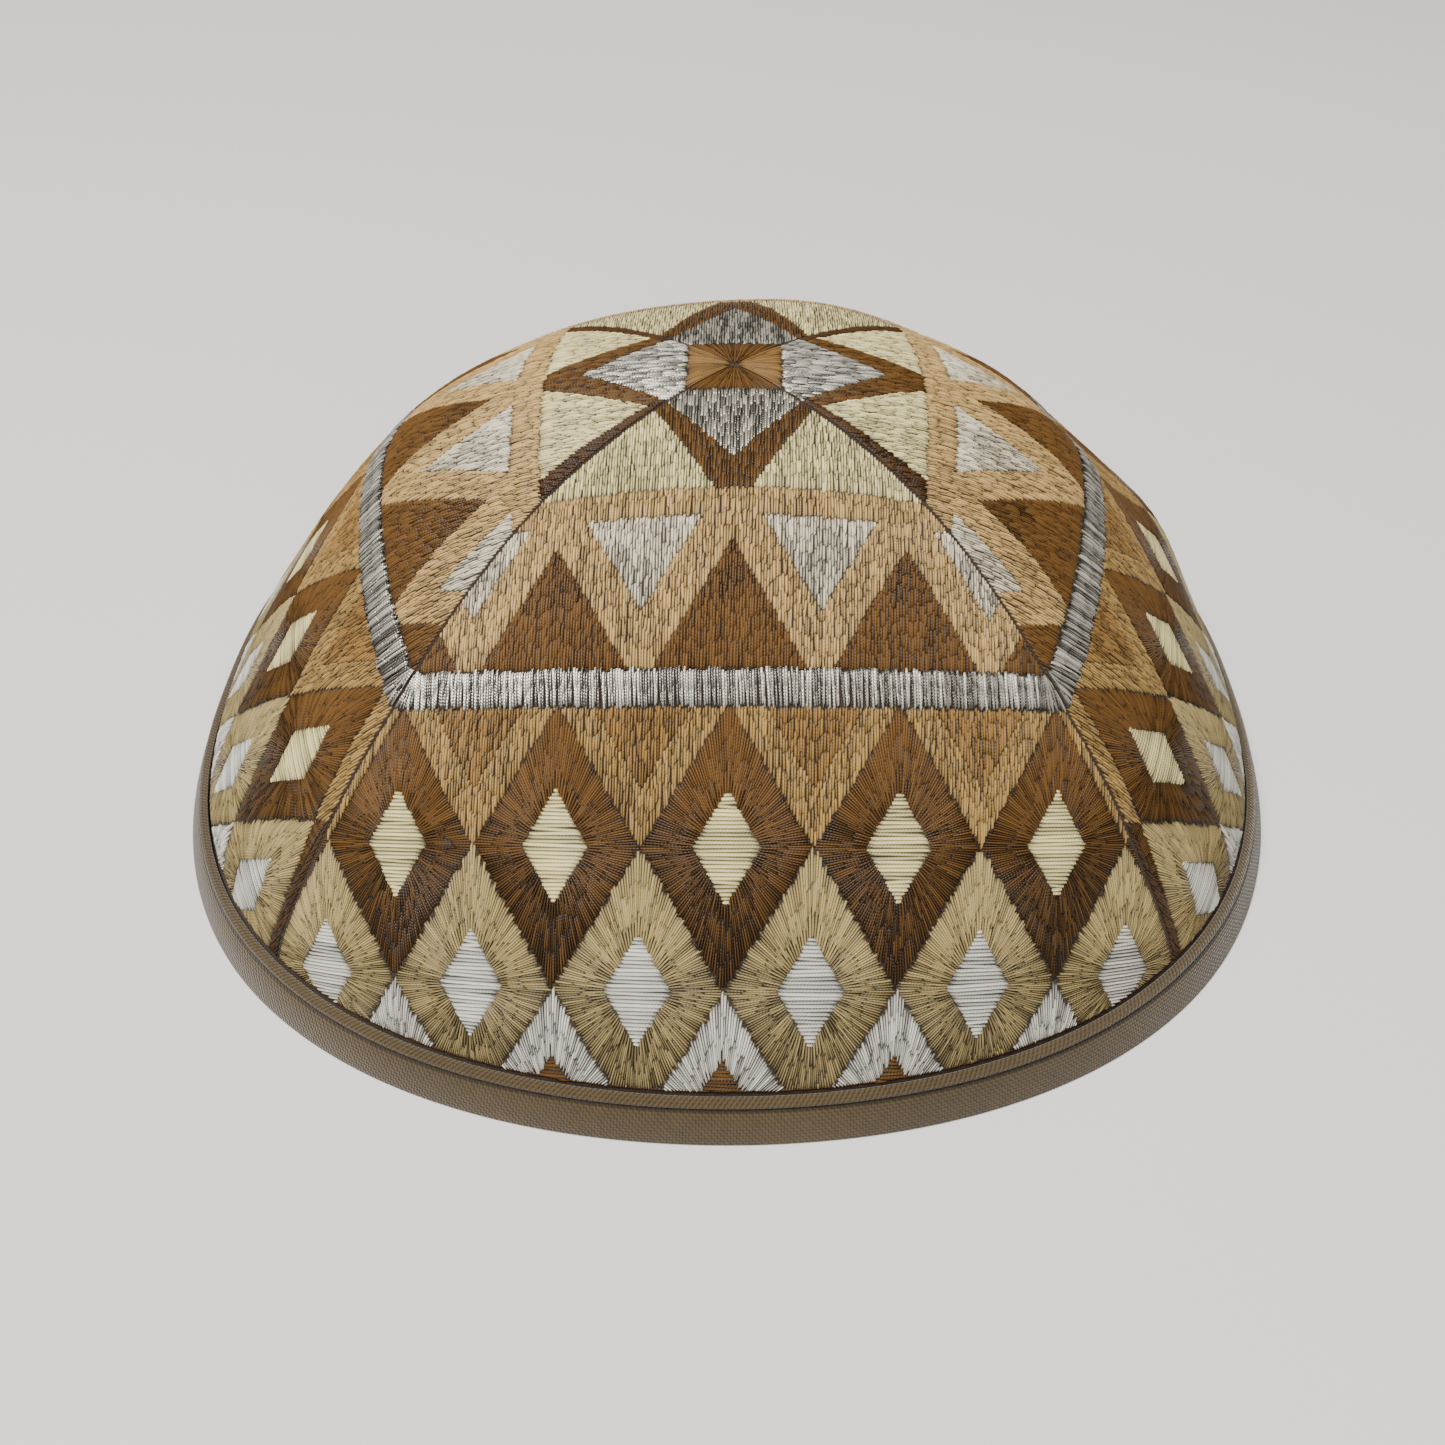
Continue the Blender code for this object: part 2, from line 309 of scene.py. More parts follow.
def smooth_column(shares, column):
    """Reads a column of the hang table at the given shares, along a curve that never overshoots it."""
    table = np.array(PANEL_HANG)
    known, values = table[:, SHARE], table[:, column]
    steps = np.diff(values) / np.diff(known)
    tangents = np.zeros(len(known))
    tangents[0], tangents[-1] = steps[0], steps[-1]
    same_way = steps[:-1] * steps[1:] > 0
    before, after = steps[:-1][same_way], steps[1:][same_way]
    tangents[1:-1][same_way] = 2 * before * after / (before + after)
    shares = np.clip(shares, 0.0, 1.0)
    row = np.clip(np.searchsorted(known, shares, side="right") - 1, 0, len(steps) - 1)
    width = known[row + 1] - known[row]
    part = (shares - known[row]) / width
    lower = values[row] * (1 + 2 * part) * (1 - part) ** 2 + tangents[row] * width * part * (1 - part) ** 2
    upper = values[row + 1] * part**2 * (3 - 2 * part) - tangents[row + 1] * width * part**2 * (1 - part)
    return lower + upper


def solve(rising, low, high):
    """Finds where a rising function passes zero, for each entry of its arrays, by halving the range."""
    for _ in range(HALVINGS):
        middle = (low + high) / 2
        above = rising(middle) > 0
        high = np.where(above, middle, high)
        low = np.where(above, low, middle)
    return (low + high) / 2


class MiddleLine:
    """The line down a panel's middle, by the share of the way from the crown to the table."""

    def __init__(self):
        self.along = np.linspace(0.0, PAST_TABLE, LINE_STEPS + 1)
        slope = np.radians(smooth_column(self.along, SLOPE))
        outwards, fallen = self.summed(np.cos(slope)), self.summed(np.sin(slope))
        out_scale = RIM_RADIUS / self.read(outwards, 1.0)
        fall_scale = CROWN_HEIGHT / self.read(fallen, 1.0)
        self.outwards = outwards * out_scale
        self.height = CROWN_HEIGHT - fallen * fall_scale
        self.slope = np.arctan2(np.sin(slope) * fall_scale, np.cos(slope) * out_scale)
        self.arch = smooth_column(self.along, ARCH) / RIM_RADIUS
        self.pull = smooth_column(self.along, PULL) / RIM_RADIUS**3
        self.crease = smooth_column(self.along, CREASE) * RIM_RADIUS

    def summed(self, rate):
        steps = np.diff(self.along) * (rate[1:] + rate[:-1]) / 2
        return np.concatenate([[0.0], np.cumsum(steps)])

    def read(self, values, along):
        return np.interp(along, self.along, values)


class Layer:
    """One surface of a panel, a depth under its outer face, reaching to an offset from the seams."""

    def __init__(self, line, side, folded, depth, seam_offset):
        self.line = line
        self.folded = folded
        self.depth = depth
        self.seam_offset = seam_offset * math.sqrt(2)
        self.dents = [dent[1:] for dent in DENTS if dent[0] == side]
        self.tip = solve(lambda along: line.read(line.outwards, along) - self.seam_offset, 0.0, 1.0)
        none, widest = np.zeros(len(line.along)), np.full(len(line.along), 1.2 * RIM_RADIUS)
        self.reaches = solve(self.past_seam, none, widest)

    def past_seam(self, across):
        """How far points are past the seam plane, for one point at each place along the line."""
        aside, outwards, _ = self.pinch(across, self.line.along, 0.0)
        return aside - outwards + self.seam_offset

    def reach(self, along):
        return self.line.read(self.reaches, along)

    def sweep(self, across, along, sunk):
        """The arched cross section at each place along the middle line, as aside, outwards and height."""
        line = self.line
        slope, arch = line.read(line.slope, along), line.read(line.arch, along)
        radius = 1 / arch - self.depth - sunk
        aside = radius * np.sin(arch * across)
        drop = self.depth + sunk + radius * (1 - np.cos(arch * across))
        drop = drop + line.read(line.pull, along) * across**4
        outwards = line.read(line.outwards, along) - drop * np.sin(slope)
        return aside, outwards, line.read(line.height, along) - drop * np.cos(slope)

    def pinch(self, across, along, sunk):
        """The cross section as the tape holds it, drawn in a little near the rim."""
        height = self.sweep(across, along, sunk)[2]
        pinched = np.clip((PINCH_START - height) / (PINCH_START - PINCH_END), 0.0, 1.0)
        return self.sweep(across, along, sunk + RIM_PINCH * pinched)

    def place(self, share, along, lift=0.0):
        """Points at a share of the way from the middle to the seam, lifted off this surface."""
        across = share * self.reach(along)
        sunk = np.zeros(np.shape(across)) - lift
        if self.folded:
            blunt = np.hypot(share, CREASE_SOFTNESS) - math.hypot(1.0, CREASE_SOFTNESS)
            sunk = sunk + self.line.read(self.line.crease, along) * blunt
        for down, aside, depth, spread in self.dents:
            distance = np.hypot((along - down) * CROWN_TO_RIM, across - aside * RIM_RADIUS)
            hollow = np.exp(-((distance / (spread * RIM_RADIUS)) ** 2))
            sunk = sunk + depth * RIM_RADIUS * hollow * (1 - share**2)
        return np.stack(self.pinch(across, along, sunk), axis=-1)

    def along_at_height(self, share, height):
        """How far down the cloth the given height is reached, at a share of the way to the seam."""
        top = np.full(np.shape(share), 0.5)
        bottom = np.full(np.shape(share), PAST_TABLE)
        return solve(lambda along: height - self.place(share, along)[..., 2], top, bottom)


def set_in_dome(points, turn):
    """Turns points of the front panel to their own quarter and gives them the dome's stretch and lean."""
    angle = turn * math.pi / 2
    aside, outwards, height = np.moveaxis(points, -1, 0)
    x = aside * math.cos(angle) + outwards * math.sin(angle)
    y = aside * math.sin(angle) - outwards * math.cos(angle)
    return np.stack([x * SIDEWAYS_STRETCH + height * CROWN_LEAN, y, height], axis=-1)


class Value:
    """A socket of the material, with which shader maths is written as ordinary sums."""

    def __init__(self, tree, socket):
        self.tree = tree
        self.socket = socket

    def node(self, kind, inputs=(), output=0, **settings):
        """Adds any node, sets its settings, links or fills its inputs and gives one of its outputs."""
        added = self.tree.nodes.new(kind)
        for name, value in settings.items():
            setattr(added, name, value)
        for key, value in dict(inputs).items():
            if isinstance(value, Value):
                self.tree.links.new(value.socket, added.inputs[key])
            else:
                added.inputs[key].default_value = value
        return Value(self.tree, added.outputs[output])

    def maths(self, operation, *others):
        return self.node("ShaderNodeMath", dict(enumerate((self, *others))), operation=operation)

    def __add__(self, other):
        return self.maths("ADD", other)

    def __radd__(self, other):
        return self.maths("ADD", other)

    def __sub__(self, other):
        return self.maths("SUBTRACT", other)

    def __rsub__(self, other):
        return self.maths("MULTIPLY", -1.0).maths("ADD", other)

    def __mul__(self, other):
        return self.maths("MULTIPLY", other)

    def __rmul__(self, other):
        return self.maths("MULTIPLY", other)

    def __truediv__(self, other):
        return self.maths("DIVIDE", other)

    def __pow__(self, other):
        return self.maths("POWER", other)

    def sine(self):
        return self.maths("SINE")

    def size(self):
        return self.maths("ABSOLUTE")

    def clamped(self):
        return self.node("ShaderNodeClamp", {0: self})

    def split(self, part):
        return self.node("ShaderNodeSeparateXYZ", {0: self}, part)

    def noise(self, scale, detail=2.0):
        return self.node("ShaderNodeTexNoise", {"Vector": self, "Scale": scale, "Detail": detail})

    def blend(self, first, second):
        """The first colour where this is 0 and the second where it is 1."""
        inputs = {0: self, 6: first, 7: second}
        return self.node("ShaderNodeMix", inputs, 2, data_type="RGBA")

    def bump(self, distance, strength=1.0):
        return self.node("ShaderNodeBump", {"Height": self, "Distance": distance, "Strength": strength})


def opaque(colour, lightness=1.0):
    return (*(min(1.0, part * lightness) for part in colour), 1.0)


def new_material(name, colour):
    """A material with its shader, and a first value on its tree from which others are made."""
    material = bpy.data.materials.new(name)
    material.use_nodes = True
    material.diffuse_color = opaque(colour)
    shader = material.node_tree.nodes["Principled BSDF"]
    return material, shader, Value(material.node_tree, None)


def connect(value, shader, name):
    value.tree.links.new(value.socket, shader.inputs[name])


def thread_material(name, colour, metallic):
    """Twisted shiny thread: each stitch has its own shade, its colour holds painted shade between the threads
    and a painted highlight along each crest, and its plies show as slanted ridges.
    """
    material, shader, value = new_material(f"thread_{name}", colour)
    shader.inputs["Specular IOR Level"].default_value = 0.22
    shader.inputs["Sheen Weight"].default_value = 0.0 if metallic else 0.04
    shader.inputs["Sheen Roughness"].default_value = 0.4
    shader.inputs["Metallic"].default_value = 0.55 if metallic else 0.0
    place = value.node("ShaderNodeUVMap", uv_map="stitch")
    shade = value.node("ShaderNodeAttribute", {}, 2, attribute_name="shade")
    where = value.node("ShaderNodeTexCoord", {}, 3)
    crest = value.node("ShaderNodeAttribute", {}, 2, attribute_name="crest")
    spread = 0.9 if metallic else 0.55
    # Painted light in the base colour: each stitch is darker towards its ends and edges, painted shade for
    # the gaps between threads, and lighter along its crest, a painted highlight; deep and bright are shaded
    # and lit copies of the thread's colour. The metal threads get a wider spread, for painted glints. Each
    # stitch's own shade and a fine mottle are added.
    level = crest * 0.95 + shade * spread + where.noise(60.0) * 0.3 - (0.66 if metallic else 0.45)
    deep, bright = opaque(colour, 0.11), opaque(colour, 1.55 if metallic else 1.42)
    connect(level.clamped().blend(deep, bright), shader, "Base Color")
    connect(shade.clamped() * 0.16 + (0.24 if metallic else 0.36), shader, "Roughness")
    plies = (place.split(1) * 15.0 + place.split(0) * 6.0).sine()
    connect(plies.bump(0.00003, 0.5), shader, "Normal")
    return material


def woven_material(name, colour, yarn, uv_name, fuzz):
    """Plain woven cloth: two sets of yarns that pass over and under each other."""
    material, shader, value = new_material(name, colour)
    shader.inputs["Specular IOR Level"].default_value = 0.3
    shader.inputs["Sheen Weight"].default_value = fuzz
    place = value.node("ShaderNodeUVMap", uv_map=uv_name)
    where = value.node("ShaderNodeTexCoord", {}, 3)
    turns = math.pi / yarn
    over = (place.split(0) * turns).sine()
    under = (place.split(1) * turns).sine()
    weave = (over * under).size()
    uneven = where.noise(900.0) * 0.5 + where.noise(60.0) * 0.5
    tint = (weave * 0.5 + uneven * 0.8 - 0.2).clamped().blend(opaque(colour, 0.55), opaque(colour, 1.35))
    connect(tint, shader, "Base Color")
    connect(uneven * 0.2 + 0.72, shader, "Roughness")
    connect((weave + uneven * 0.4).bump(0.00012, 0.7), shader, "Normal")
    return material


def tape_material(name, colour, yarn, twist):
    """Woven tape: fine slanting ribs, and turns of yarn round the rolled upper edge."""
    material, shader, value = new_material(name, colour)
    shader.inputs["Specular IOR Level"].default_value = 0.3
    shader.inputs["Sheen Weight"].default_value = 0.3
    place = value.node("ShaderNodeUVMap", uv_map="tape")
    roll = value.node("ShaderNodeAttribute", {}, 2, attribute_name="roll")
    where = value.node("ShaderNodeTexCoord", {}, 3)
    groove = value.node("ShaderNodeAttribute", {}, 2, attribute_name="groove")
    along, across = place.split(0), place.split(1)
    turns = math.pi / yarn
    weave = ((along * turns).sine() * (across * turns).sine()).size()
    slant = ((along + across) * turns).sine() * 0.5 + 0.5
    flat = weave * 0.65 + slant * 0.45
    coils = (along * (2 * math.pi / twist) - across * (1.8 * math.pi / twist)).sine() * 0.5 + 0.5
    fine = flat * (1.0 - roll) + (coils * 0.75 + weave * 0.45) * roll
    uneven = where.noise(800.0) * 0.5 + where.noise(45.0) * 0.5
    # Painted shade: the colour is darker in the groove under the roll, where shade falls
    level = fine * 0.75 + uneven * 0.7 - groove * 0.6 - 0.22
    connect(level.clamped().blend(opaque(colour, 0.30), opaque(colour, 1.5)), shader, "Base Color")
    connect(uneven * 0.2 + 0.70, shader, "Roughness")
    connect((fine + uneven * 0.2).bump(0.00018, 0.8), shader, "Normal")
    return material


class Cloth:
    """One panel's outer face, read in metres across from its middle and down from the crown."""

    def __init__(self, line, side, turn, folded):
        self.turn = turn
        self.face = Layer(line, side, folded, 0.0, SEWING_GAP / 2)
        shares = np.linspace(-1.0, 1.0, 161)
        ends = self.face.along_at_height(shares, BINDING_HEIGHT - FOOT_UNDER_BINDING)
        self.end_across = shares * self.face.reach(ends)
        self.end_down = ends * CLOTH_LENGTH

    def reach(self, down):
        return self.face.reach(down / CLOTH_LENGTH)

    def foot(self, across):
        """How far down the embroidery goes, at a distance across from the panel's middle."""
        return np.interp(across, self.end_across, self.end_down)

    def points(self, across, down, lift):
        along = down / CLOTH_LENGTH
        share = np.clip(across / np.maximum(self.face.reach(along), 0.00001), -1.0, 1.0)
        return set_in_dome(self.face.place(share, along, lift), self.turn)


class Embroidery:
    """The stitches of one panel, laid on its cloth and made into one mesh."""

    def __init__(self, cloth, is_side, settings, random):
        self.cloth = cloth
        self.is_side = is_side
        self.settings = settings
        self.random = random
        self.narrowing = SIDE_NARROWING if is_side else 1.0
        self.rows = []

    def strip(self, down):
        """How wide the dark strip beside a side panel's seam is."""
        if not self.is_side:
            return np.zeros(np.shape(down))
        star = STAR_SHOULDER + STAR_BAND_DROP
        strip_top = BROWN_ROW - STRIP_ABOVE_ROW
        known = (star, RING_TOP, RING_TOP + 0.0001, strip_top, BROWN_ROW + STRIP_BELOW_ROW, CLOTH_LENGTH)
        widths = (STRIP_AT_STAR, STRIP_AT_RING, 0.0, 0.0, STRIP_AT_RIM, STRIP_AT_RIM)
        return np.interp(down, known, widths)

    def lay(self, start, end, thread, width, shade, lift=0.0):
        """Adds stitches from start to end, each a pair of arrays across and down."""
        across, down, far_across, far_down, thread, width, shade, lift = np.broadcast_arrays(
            *start, *end, thread, width, shade, lift
        )
        self.rows.append(np.stack([across, down, far_across, far_down, thread, width, shade, lift], axis=-1))

    def pattern(self, across, down):
        """The thread of the stitches that run down the cloth, at points on it."""
        reach = self.cloth.reach(down)
        strip = np.abs(across) > reach - self.strip(down)
        across = np.abs(across) / self.narrowing
        thread = np.full(np.shape(across), TAN)
        star_edge = STAR_POINT - across * (STAR_POINT - STAR_SHOULDER) / STAR_HALF_WIDTH
        band_fall = RING_TOP - STAR_SHOULDER - STAR_BAND_DROP
        band_reach = STAR_HALF_WIDTH + STAR_BAND_DROP - STAR_BAND_FOOT
        band_edge = RING_TOP - (across - STAR_BAND_FOOT) * (band_fall / band_reach)
        above_ring = down < RING_TOP
        thread = np.where(above_ring, CREAM, thread)
        thread = np.where(above_ring & (down < band_edge), BROWN, thread)
        thread = np.where(above_ring & strip, DARK_BROWN, thread)
        # Painted shade: the star on the front and back panels gets a darker copy of the silver thread, and
        # the side panels' star the plain silver, for how the light falls on each
        star_thread = SILVER if self.is_side else SHADED_SILVER
        thread = np.where(down < np.maximum(star_edge, STAR_SHOULDER), star_thread, thread)
        for middle in (0.5, 1.5):
            half = DROP_HALF_WIDTH * (DROP_POINT - down) / (DROP_POINT - RING_FOOT)
            drop = (np.abs(across - middle * PEAK_PERIOD) < half) & (down > RING_FOOT)
            thread = np.where(drop, IVORY, thread)
        for middle in (0.0, 1.0, 2.0):
            half = PEAK_HALF_WIDTH * (down - PEAK_TOP) / (BAND_TOP - PEAK_TOP)
            peak = (np.abs(across - middle * PEAK_PERIOD) < half) & (down < BAND_TOP)
            thread = np.where(peak, BROWN, thread)
        below = down > BAND_FOOT
        nearest = np.abs(across - np.round(across / DIAMOND_PERIOD) * DIAMOND_PERIOD)
        between = DIAMOND_PERIOD / 2 - nearest
        in_row = nearest / (DIAMOND_HALF * DIAMOND_PERIOD) + np.abs(down - BROWN_ROW) / DIAMOND_RISE < 1
        hung = between / (DIAMOND_PERIOD / 2) + (down - BROWN_ROW + DIAMOND_RISE) / DIAMOND_RISE
        thread = np.where(below, np.where(hung < HANGING_SHARE, OLIVE, GOLD), thread)
        thread = np.where(below & (in_row | (down > BROWN_ROW)), NO_THREAD, thread)
        thread = np.where((down > BROWN_ROW - STRIP_ABOVE_ROW) & strip, DARK_BROWN, thread)
        thread = np.where((down < TIP_EDGE) | ((down > BAND_TOP) & (down < BAND_FOOT)), NO_THREAD, thread)
        return thread

    def fill_down(self):
        """Fills the areas whose stitches run down the cloth, column by column."""
        pitch = self.settings.pitch
        widest = self.cloth.reach(CLOTH_LENGTH * 0.97)
        down = np.arange(0.0, CLOTH_LENGTH, READ_STEP)
        reach = self.cloth.reach(down)
        for column in np.arange(-widest, widest, pitch):
            jagged = self.random.uniform(-JAGGED, JAGGED)
            thread = self.pattern(np.full(len(down), column), down + jagged)
            margin = self.random.uniform(0.00002, 0.00014)
            outside = (np.abs(column) > reach - margin) | (down > self.cloth.foot(column))
            thread[outside] = NO_THREAD
            changes = np.flatnonzero(np.diff(thread)) + 1
            for first, last in zip([0, *changes], [*changes, len(thread)]):
                if thread[first] != NO_THREAD and last - first > 3:
                    self.fill_run(column, down[first], down[last - 1], thread[first])

    def fill_run(self, column, top, foot, thread):
        """Splits one run of a column into stitches of uneven length."""
        usual = self.settings.stitch_length
        where = top
        first_share = self.random.uniform(0.35, 1.0)
        while where < foot - 0.0002:
            length = usual * first_share * self.random.uniform(0.75, 1.3)
            first_share = 1.0
            end = where + length
            if foot - end < 0.6 * usual:
                end = foot
            lean = self.random.normal(0.0, 0.00006)
            side = self.random.normal(0.0, 0.00003)
            shade = self.random.uniform(0.0, 1.0)
            # Painted highlight: the brown peaks are made lighter in their lower part, for the golden sheen of
            # their thread there
            if thread == BROWN and BAND_TOP - 0.0105 < where < BAND_TOP - 0.0015:
                shade += 0.35
            if thread == IVORY and where > RING_FOOT + 0.003:
                shade -= 0.25
            width = self.settings.pitch * self.random.uniform(0.92, 1.12)
            lift = self.random.uniform(0.0, 0.00005)
            start = (column + side, where - OVERLAP)
            self.lay(start, (column + side + lean, end + OVERLAP), thread, width, shade, lift)
            where = end

    def fill_tip(self):
        """Fills the tip under the crown, with stitches that spread from the crown."""
        half = TIP_EDGE * 1.02
        ends = np.arange(-half, half, self.settings.pitch * 0.9)
        inner = np.resize([0.10, 0.62, 0.36, 0.62], len(ends)) + self.random.uniform(-0.05, 0.05, len(ends))
        foot = TIP_EDGE + self.random.uniform(-0.0003, 0.0003, len(ends))
        reach = self.cloth.reach(foot) - 0.00015
        ends = np.clip(ends, -reach, reach)
        thread = LIGHT_BROWN if self.is_side else BROWN
        shade = self.random.uniform(0.0, 1.0, len(ends))
        width = self.settings.pitch * 0.98
        self.lay((ends * inner, foot * inner), (ends, foot), thread, width, shade)

    def fill_band(self):
        """Lays the raised silver band, with long slanting stitches over its whole width."""
        widest = self.cloth.reach(BAND_FOOT)
        across = np.arange(-widest, widest, self.settings.pitch * 0.92)
        count = len(across)
        top = BAND_TOP + self.random.uniform(-BAND_JAGGED, BAND_JAGGED, count)
        foot = BAND_FOOT + self.random.uniform(-BAND_JAGGED, BAND_JAGGED, count)
        slant = self.random.normal(0.00025, 0.00012, count)
        shade = self.random.uniform(0.0, 1.0, count)
        far = across + slant
        start_limit = self.cloth.reach(top) - 0.0002
        end_limit = self.cloth.reach(foot) - 0.0002
        start = np.clip(across, -start_limit, start_limit)
        end = np.clip(far, -end_limit, end_limit)
        width = self.settings.pitch
        middle = (top + foot) / 2 + self.random.uniform(-BAND_JOINT_STRAY, BAND_JOINT_STRAY, count)
        halfway = (start + end) / 2
        upper_end, lower_start = middle + BAND_JOINT_OVERLAP, middle - BAND_JOINT_OVERLAP
        # Painted light: the random shade, raised to a power, gives painted glints on the silver, and the
        # lower half's stitches are 0.75 as light, painted shade on the band's lower side
        self.lay((start, top), (halfway, upper_end), SILVER, width, shade**1.6, BAND_LIFT)
        self.lay((halfway, lower_start), (end, foot), SILVER, width, shade**1.6 * 0.75, BAND_LIFT)

    def fill_diamonds(self):
        """Lays the three rows of diamonds: frames whose stitches spread outwards round inner diamonds."""
        for middle, offset, frame_thread, inner_thread, painted_shade_downwards, lightening in DIAMOND_ROWS:
            share = FOOT_INNER_SHARE if inner_thread == BROWN else INNER_SHARE
            for place in range(-DIAMONDS_ASIDE, DIAMONDS_ASIDE + 1):
                across = (place + offset) * DIAMOND_PERIOD * self.narrowing
                self.fill_frame(across, middle, frame_thread, share, painted_shade_downwards, lightening)
                self.fill_inner(across, middle, inner_thread, share)

    def fill_frame(self, across, middle, thread, share, painted_shade_downwards, lightening):
        """Fills one diamond's frame, with long and short stitches in turn from its inner edge outwards."""
        half_width = DIAMOND_HALF * DIAMOND_PERIOD * self.narrowing
        side, rise = spread_round(half_width, DIAMOND_RISE, 1.02 * self.settings.pitch)
        count = len(side)
        starts, ends, shades = [], [], []
        for index in range(count):
            spoke = math.hypot(side[index] * half_width, rise[index] * DIAMOND_RISE)
            first = share - 0.01 if index % 2 == 0 else self.random.uniform(0.47, 0.61)
            last = self.random.uniform(0.965, 1.03)
            pieces = max(1, round(spoke * (last - first) / (1.6 * self.settings.stitch_length)))
            cuts = (np.arange(1, pieces) + self.random.uniform(-0.3, 0.3, pieces - 1)) / pieces
            cuts = first + (last - first) * np.concatenate([[0.0], cuts, [1.0]])
            for begin, finish in zip(cuts[:-1], cuts[1:]):
                # Each stitch gets a random shade, and painted light on top of it: painted shade darkens the
                # frame towards its foot and lightens it towards its top, and a painted highlight lightens the
                # outer part of its upper arms
                shade = self.random.uniform(0.0, 1.0) + lightening - painted_shade_downwards * rise[index]
                if rise[index] < -0.2 and finish > 0.8:
                    shade += 0.25
                starts.append((side[index] * (begin - 0.008), rise[index] * (begin - 0.008)))
                ends.append((side[index] * (finish + 0.008), rise[index] * (finish + 0.008)))
                shades.append(shade)
        scale = np.array([half_width, DIAMOND_RISE])
        place = np.array([across, middle])
        start, end = (np.array(part) * scale + place for part in (starts, ends))
        width = self.settings.pitch * self.random.uniform(0.80, 0.98, len(shades))
        lift = self.random.uniform(0.0, 0.00006, len(shades))
        self.lay_clipped(start.T, end.T, thread, width, np.array(shades), lift)

    def fill_inner(self, across, middle, thread, share):
        """Fills one inner diamond, with stitches that run across it."""
        pitch = self.settings.inner_pitch
        half_width = share * DIAMOND_PERIOD / 2 * self.narrowing
        half_rise = share * DIAMOND_RISE
        down = np.arange(-half_rise + 0.3 * pitch, half_rise, pitch)
        half = half_width * (1 - np.abs(down) / half_rise) + self.random.uniform(0.0, 0.0003, len(down))
        tilt = self.random.normal(0.0, 0.00005, len(down))
        shade = self.random.uniform(0.2, 1.0, len(down))
        start = across - half, middle + down + tilt
        end = across + half, middle + down - tilt
        self.lay_clipped(start, end, thread, pitch * 1.02, shade, 0.00004)

    def lay_clipped(self, start, end, thread, width, shade, lift):
        """Lays stitches, each cut back to the part that is on the cloth under the silver band."""
        share = np.linspace(0.0, 1.0, 41)
        across = start[0][:, None] + (end[0] - start[0])[:, None] * share
        down = start[1][:, None] + (end[1] - start[1])[:, None] * share
        limit = self.cloth.reach(down) - self.strip(down) - 0.00008
        inside = (np.abs(across) < limit) & (down > BAND_FOOT - 0.0002) & (down < self.cloth.foot(across))
        count = inside.sum(axis=1)
        kept = count >= 4
        first = np.argmax(inside, axis=1)
        last = inside.shape[1] - 1 - np.argmax(inside[:, ::-1], axis=1)
        row = np.arange(len(inside))
        cut_start = across[row, first][kept], down[row, first][kept]
        cut_end = across[row, last][kept], down[row, last][kept]
        width, shade, lift = (np.broadcast_to(part, kept.shape)[kept] for part in (width, shade, lift))
        long_enough = np.hypot(cut_end[0] - cut_start[0], cut_end[1] - cut_start[1]) > SHORTEST_STITCH
        picked = [part[long_enough] for part in (*cut_start, *cut_end, width, shade, lift)]
        self.lay((picked[0], picked[1]), (picked[2], picked[3]), thread, picked[4], picked[5], picked[6])

    def edge_line(self):
        """Lays the dark line of thread between the embroidery and the binding."""
        widest = self.cloth.end_across[-1]
        across = np.arange(-widest, widest - 0.002, 0.0026)
        far = across + 0.0028
        shade = self.random.uniform(0.0, 0.6, len(across))
        start = across, self.cloth.foot(across) - EDGE_LINE_RISE
        end = far, self.cloth.foot(far) - EDGE_LINE_RISE
        self.lay(start, end, DARK_BROWN, EDGE_LINE_WIDTH, shade, 0.00002)

    def make(self, name, materials):
        """Makes all the stitches one mesh, each an arched strip of eight faces."""
        rows = np.concatenate([part.reshape(-1, 8) for part in self.rows])
        across, down, far_across, far_down, thread, width, shade, lift = rows.T[:, :, None, None]
        length = np.maximum(np.hypot(far_across - across, far_down - down), 0.00001)
        along = STITCH_ALONG[None, :, None]
        aside = STITCH_ACROSS[None, None, :] * width / 2
        place_across = across + (far_across - across) * along - (far_down - down) / length * aside
        place_down = down + (far_down - down) * along + (far_across - across) / length * aside
        rise = STITCH_ALONG_HEIGHT[None, :, None] * STITCH_ACROSS_HEIGHT[None, None, :]
        height = lift + self.settings.height * rise + 0.00005 * STITCH_ALONG_HEIGHT[None, :, None] - 0.00006
        points = self.cloth.points(place_across, place_down, height)
        mesh = stitch_mesh(name, points.reshape(-1, 3), len(rows), thread[:, 0, 0], materials)
        store_uv(mesh, "stitch", stitch_uv(length[:, 0, 0]))
        # The shade holds each stitch's random tone together with the painted shade and painted highlights
        # added where the stitches are laid
        shades = np.repeat(np.clip(shade[:, 0, 0], -0.6, 1.4), len(STITCH_ALONG) * len(STITCH_ACROSS))
        store_value(mesh, "shade", shades)
        # The crest runs from 0 at a stitch's ends and edges to 1 at its middle; the material darkens the
        # colour where it is low, painted shade, and lightens it where it is high, a painted highlight
        crest = STITCH_ALONG_HEIGHT[:, None] * STITCH_ACROSS_HEIGHT[None, :]
        store_value(mesh, "crest", np.tile(crest.ravel(), len(rows)))
        return add_piece(name, mesh)


